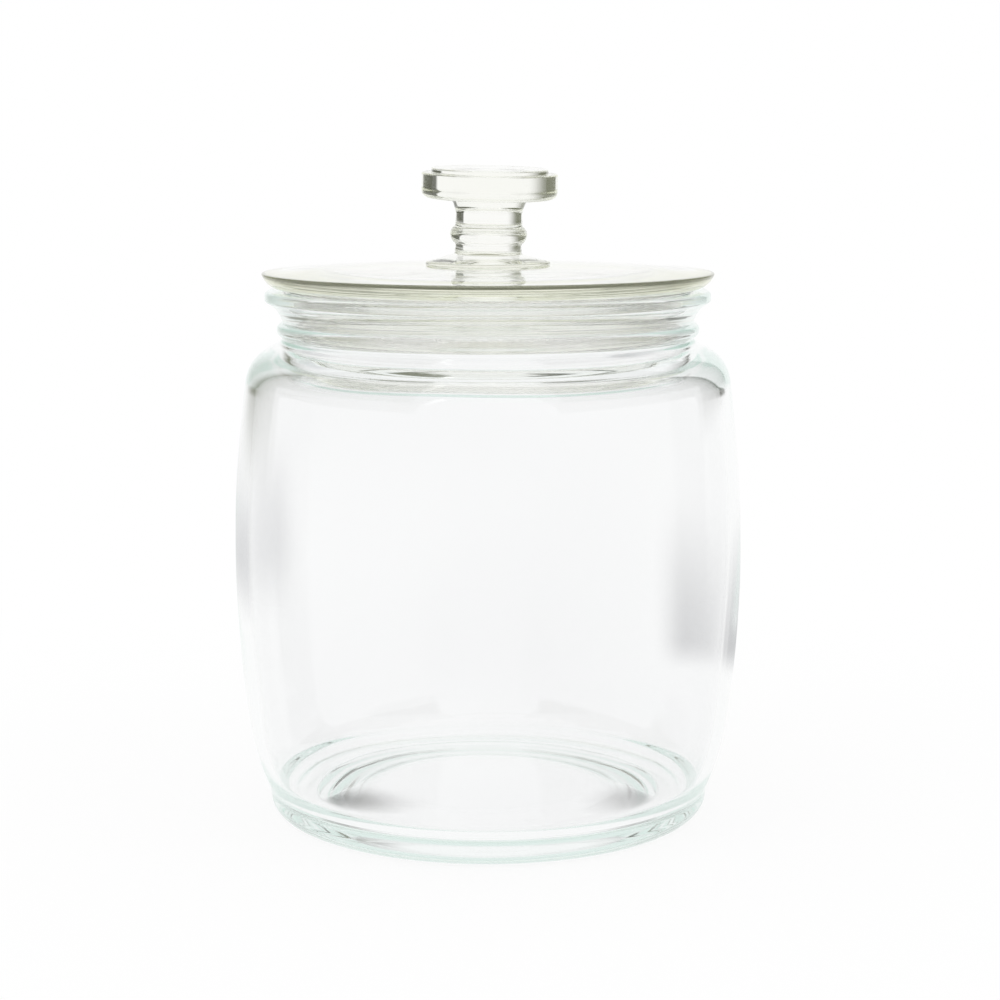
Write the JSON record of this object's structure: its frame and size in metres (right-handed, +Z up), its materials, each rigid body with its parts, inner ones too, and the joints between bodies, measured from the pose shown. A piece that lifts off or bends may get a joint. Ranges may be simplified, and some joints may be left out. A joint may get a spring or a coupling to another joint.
{
  "type": "storage jar",
  "caption": "Barrel-shaped clear glass storage jar with a beaded neck, a domed glass plug lid with a disc knob, and a soft finned sealing ring.",
  "frame": {"origin": "centre of the bearing ring, on the surface the jar stands on", "axes": "+Z up along the jar's axis, -Y towards the viewer, +X to the viewer's right"},
  "size_m": [0.14, 0.14, 0.1786],
  "materials": {
    "jar_glass": "clear, polished",
    "lid_glass": "clear, polished",
    "seal": "soft, milky"
  },
  "bodies": {
    "root": {"jar": "jar_glass", "lid": "lid_glass", "seal_ring": "seal"}
  },
  "joints": []
}
